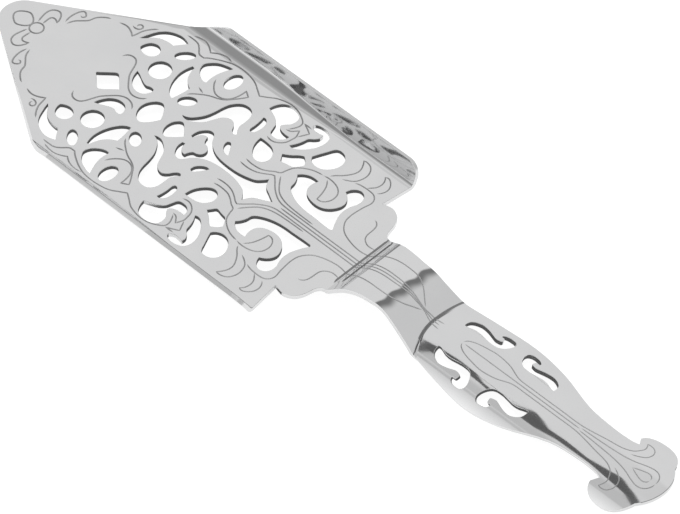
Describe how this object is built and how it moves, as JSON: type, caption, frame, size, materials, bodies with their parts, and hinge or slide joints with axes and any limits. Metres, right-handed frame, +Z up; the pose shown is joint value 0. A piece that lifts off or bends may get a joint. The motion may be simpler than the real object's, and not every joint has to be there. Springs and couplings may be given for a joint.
{
  "type": "absinthe spoon",
  "caption": "Flat slotted absinthe spoon of folded steel sheet, with a pointed pierced blade between two low walls, a raised bridge for the glass rim and an arched pierced handle.",
  "frame": {"origin": "middle of the bounding box on the surface that the spoon lies on", "axes": "+X from the blade's tip to the end of the handle, +Y across the blade to the left wall, +Z up from the blade's top face"},
  "size_m": [0.1624, 0.0454, 0.0071],
  "materials": {
    "steel": "polished"
  },
  "bodies": {
    "root": {"blade": "steel", "left_wall": "steel", "right_wall": "steel", "neck": "steel", "shoulder": "steel", "handle": "steel", "finial": "steel"}
  },
  "joints": []
}
